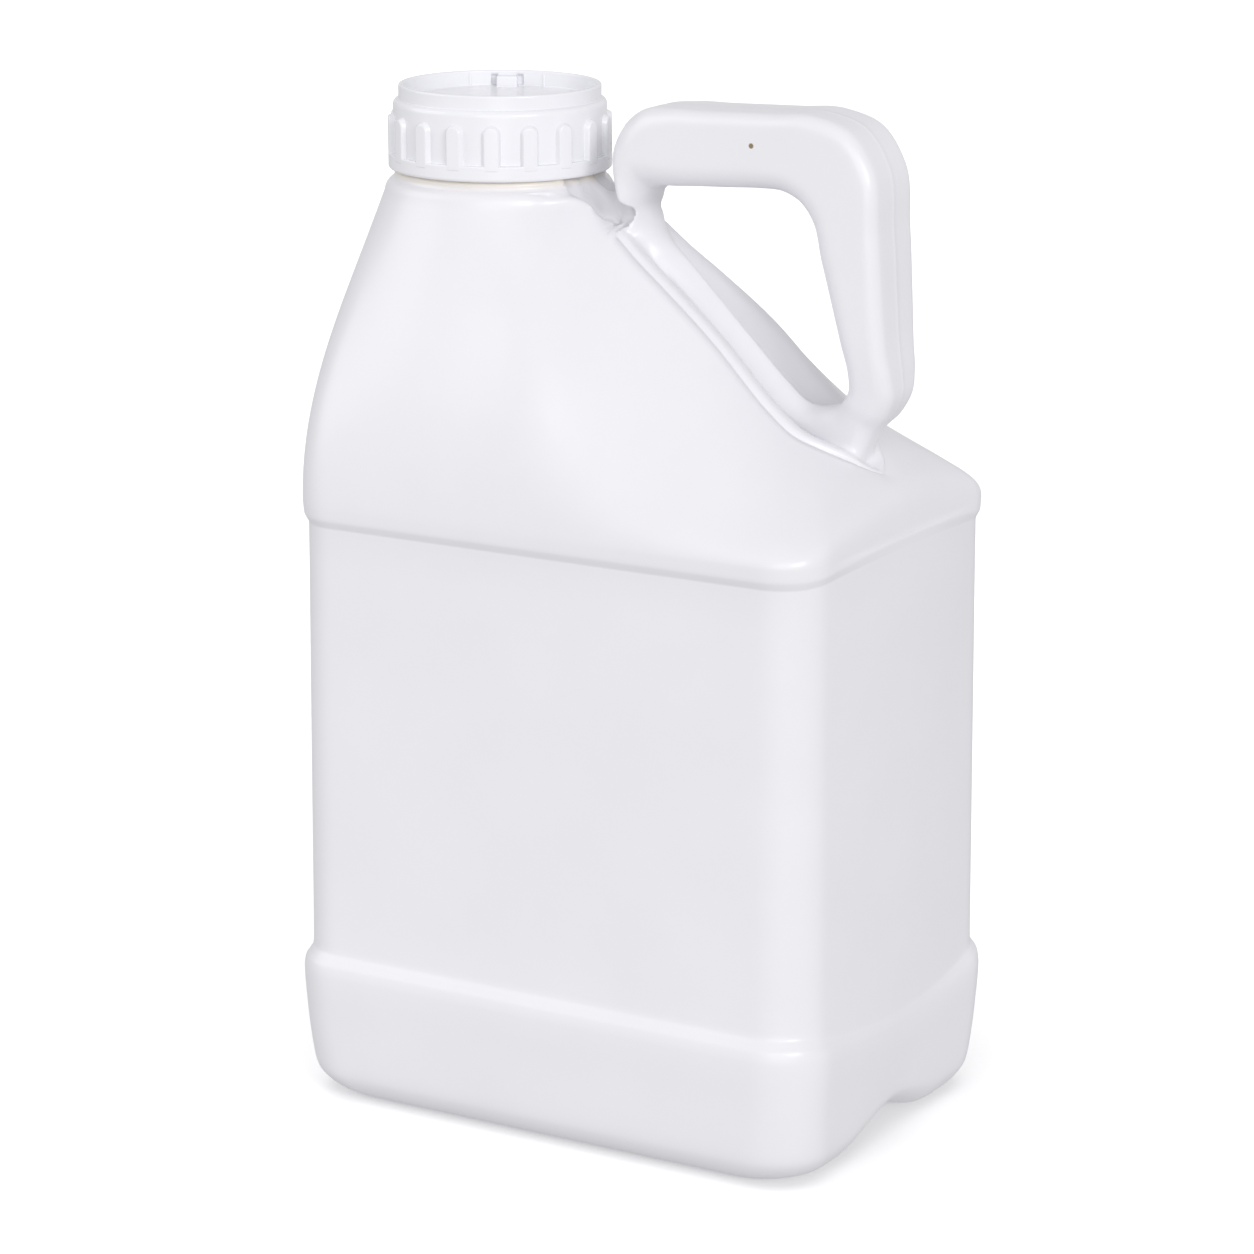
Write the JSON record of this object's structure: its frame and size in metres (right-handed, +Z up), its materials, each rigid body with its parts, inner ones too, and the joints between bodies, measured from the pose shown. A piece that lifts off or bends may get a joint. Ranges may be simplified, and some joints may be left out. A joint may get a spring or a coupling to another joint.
{
  "type": "plastic jug",
  "caption": "Closed rectangular plastic jug with an offset ribbed screw cap, a sloping shoulder and a moulded loop handle with a gap for the hand.",
  "frame": {"origin": "middle of the jug's footprint, on the floor", "axes": "+X along the long side, from the neck end to the handle end; +Y from the shown long face to the back face; +Z up through the cap"},
  "size_m": [0.191, 0.1336, 0.3244],
  "materials": {
    "milky_plastic": "satin",
    "cap_plastic": "semi-gloss"
  },
  "bodies": {
    "root": {"jug_body": "milky_plastic", "screw_cap": "cap_plastic"}
  },
  "joints": []
}
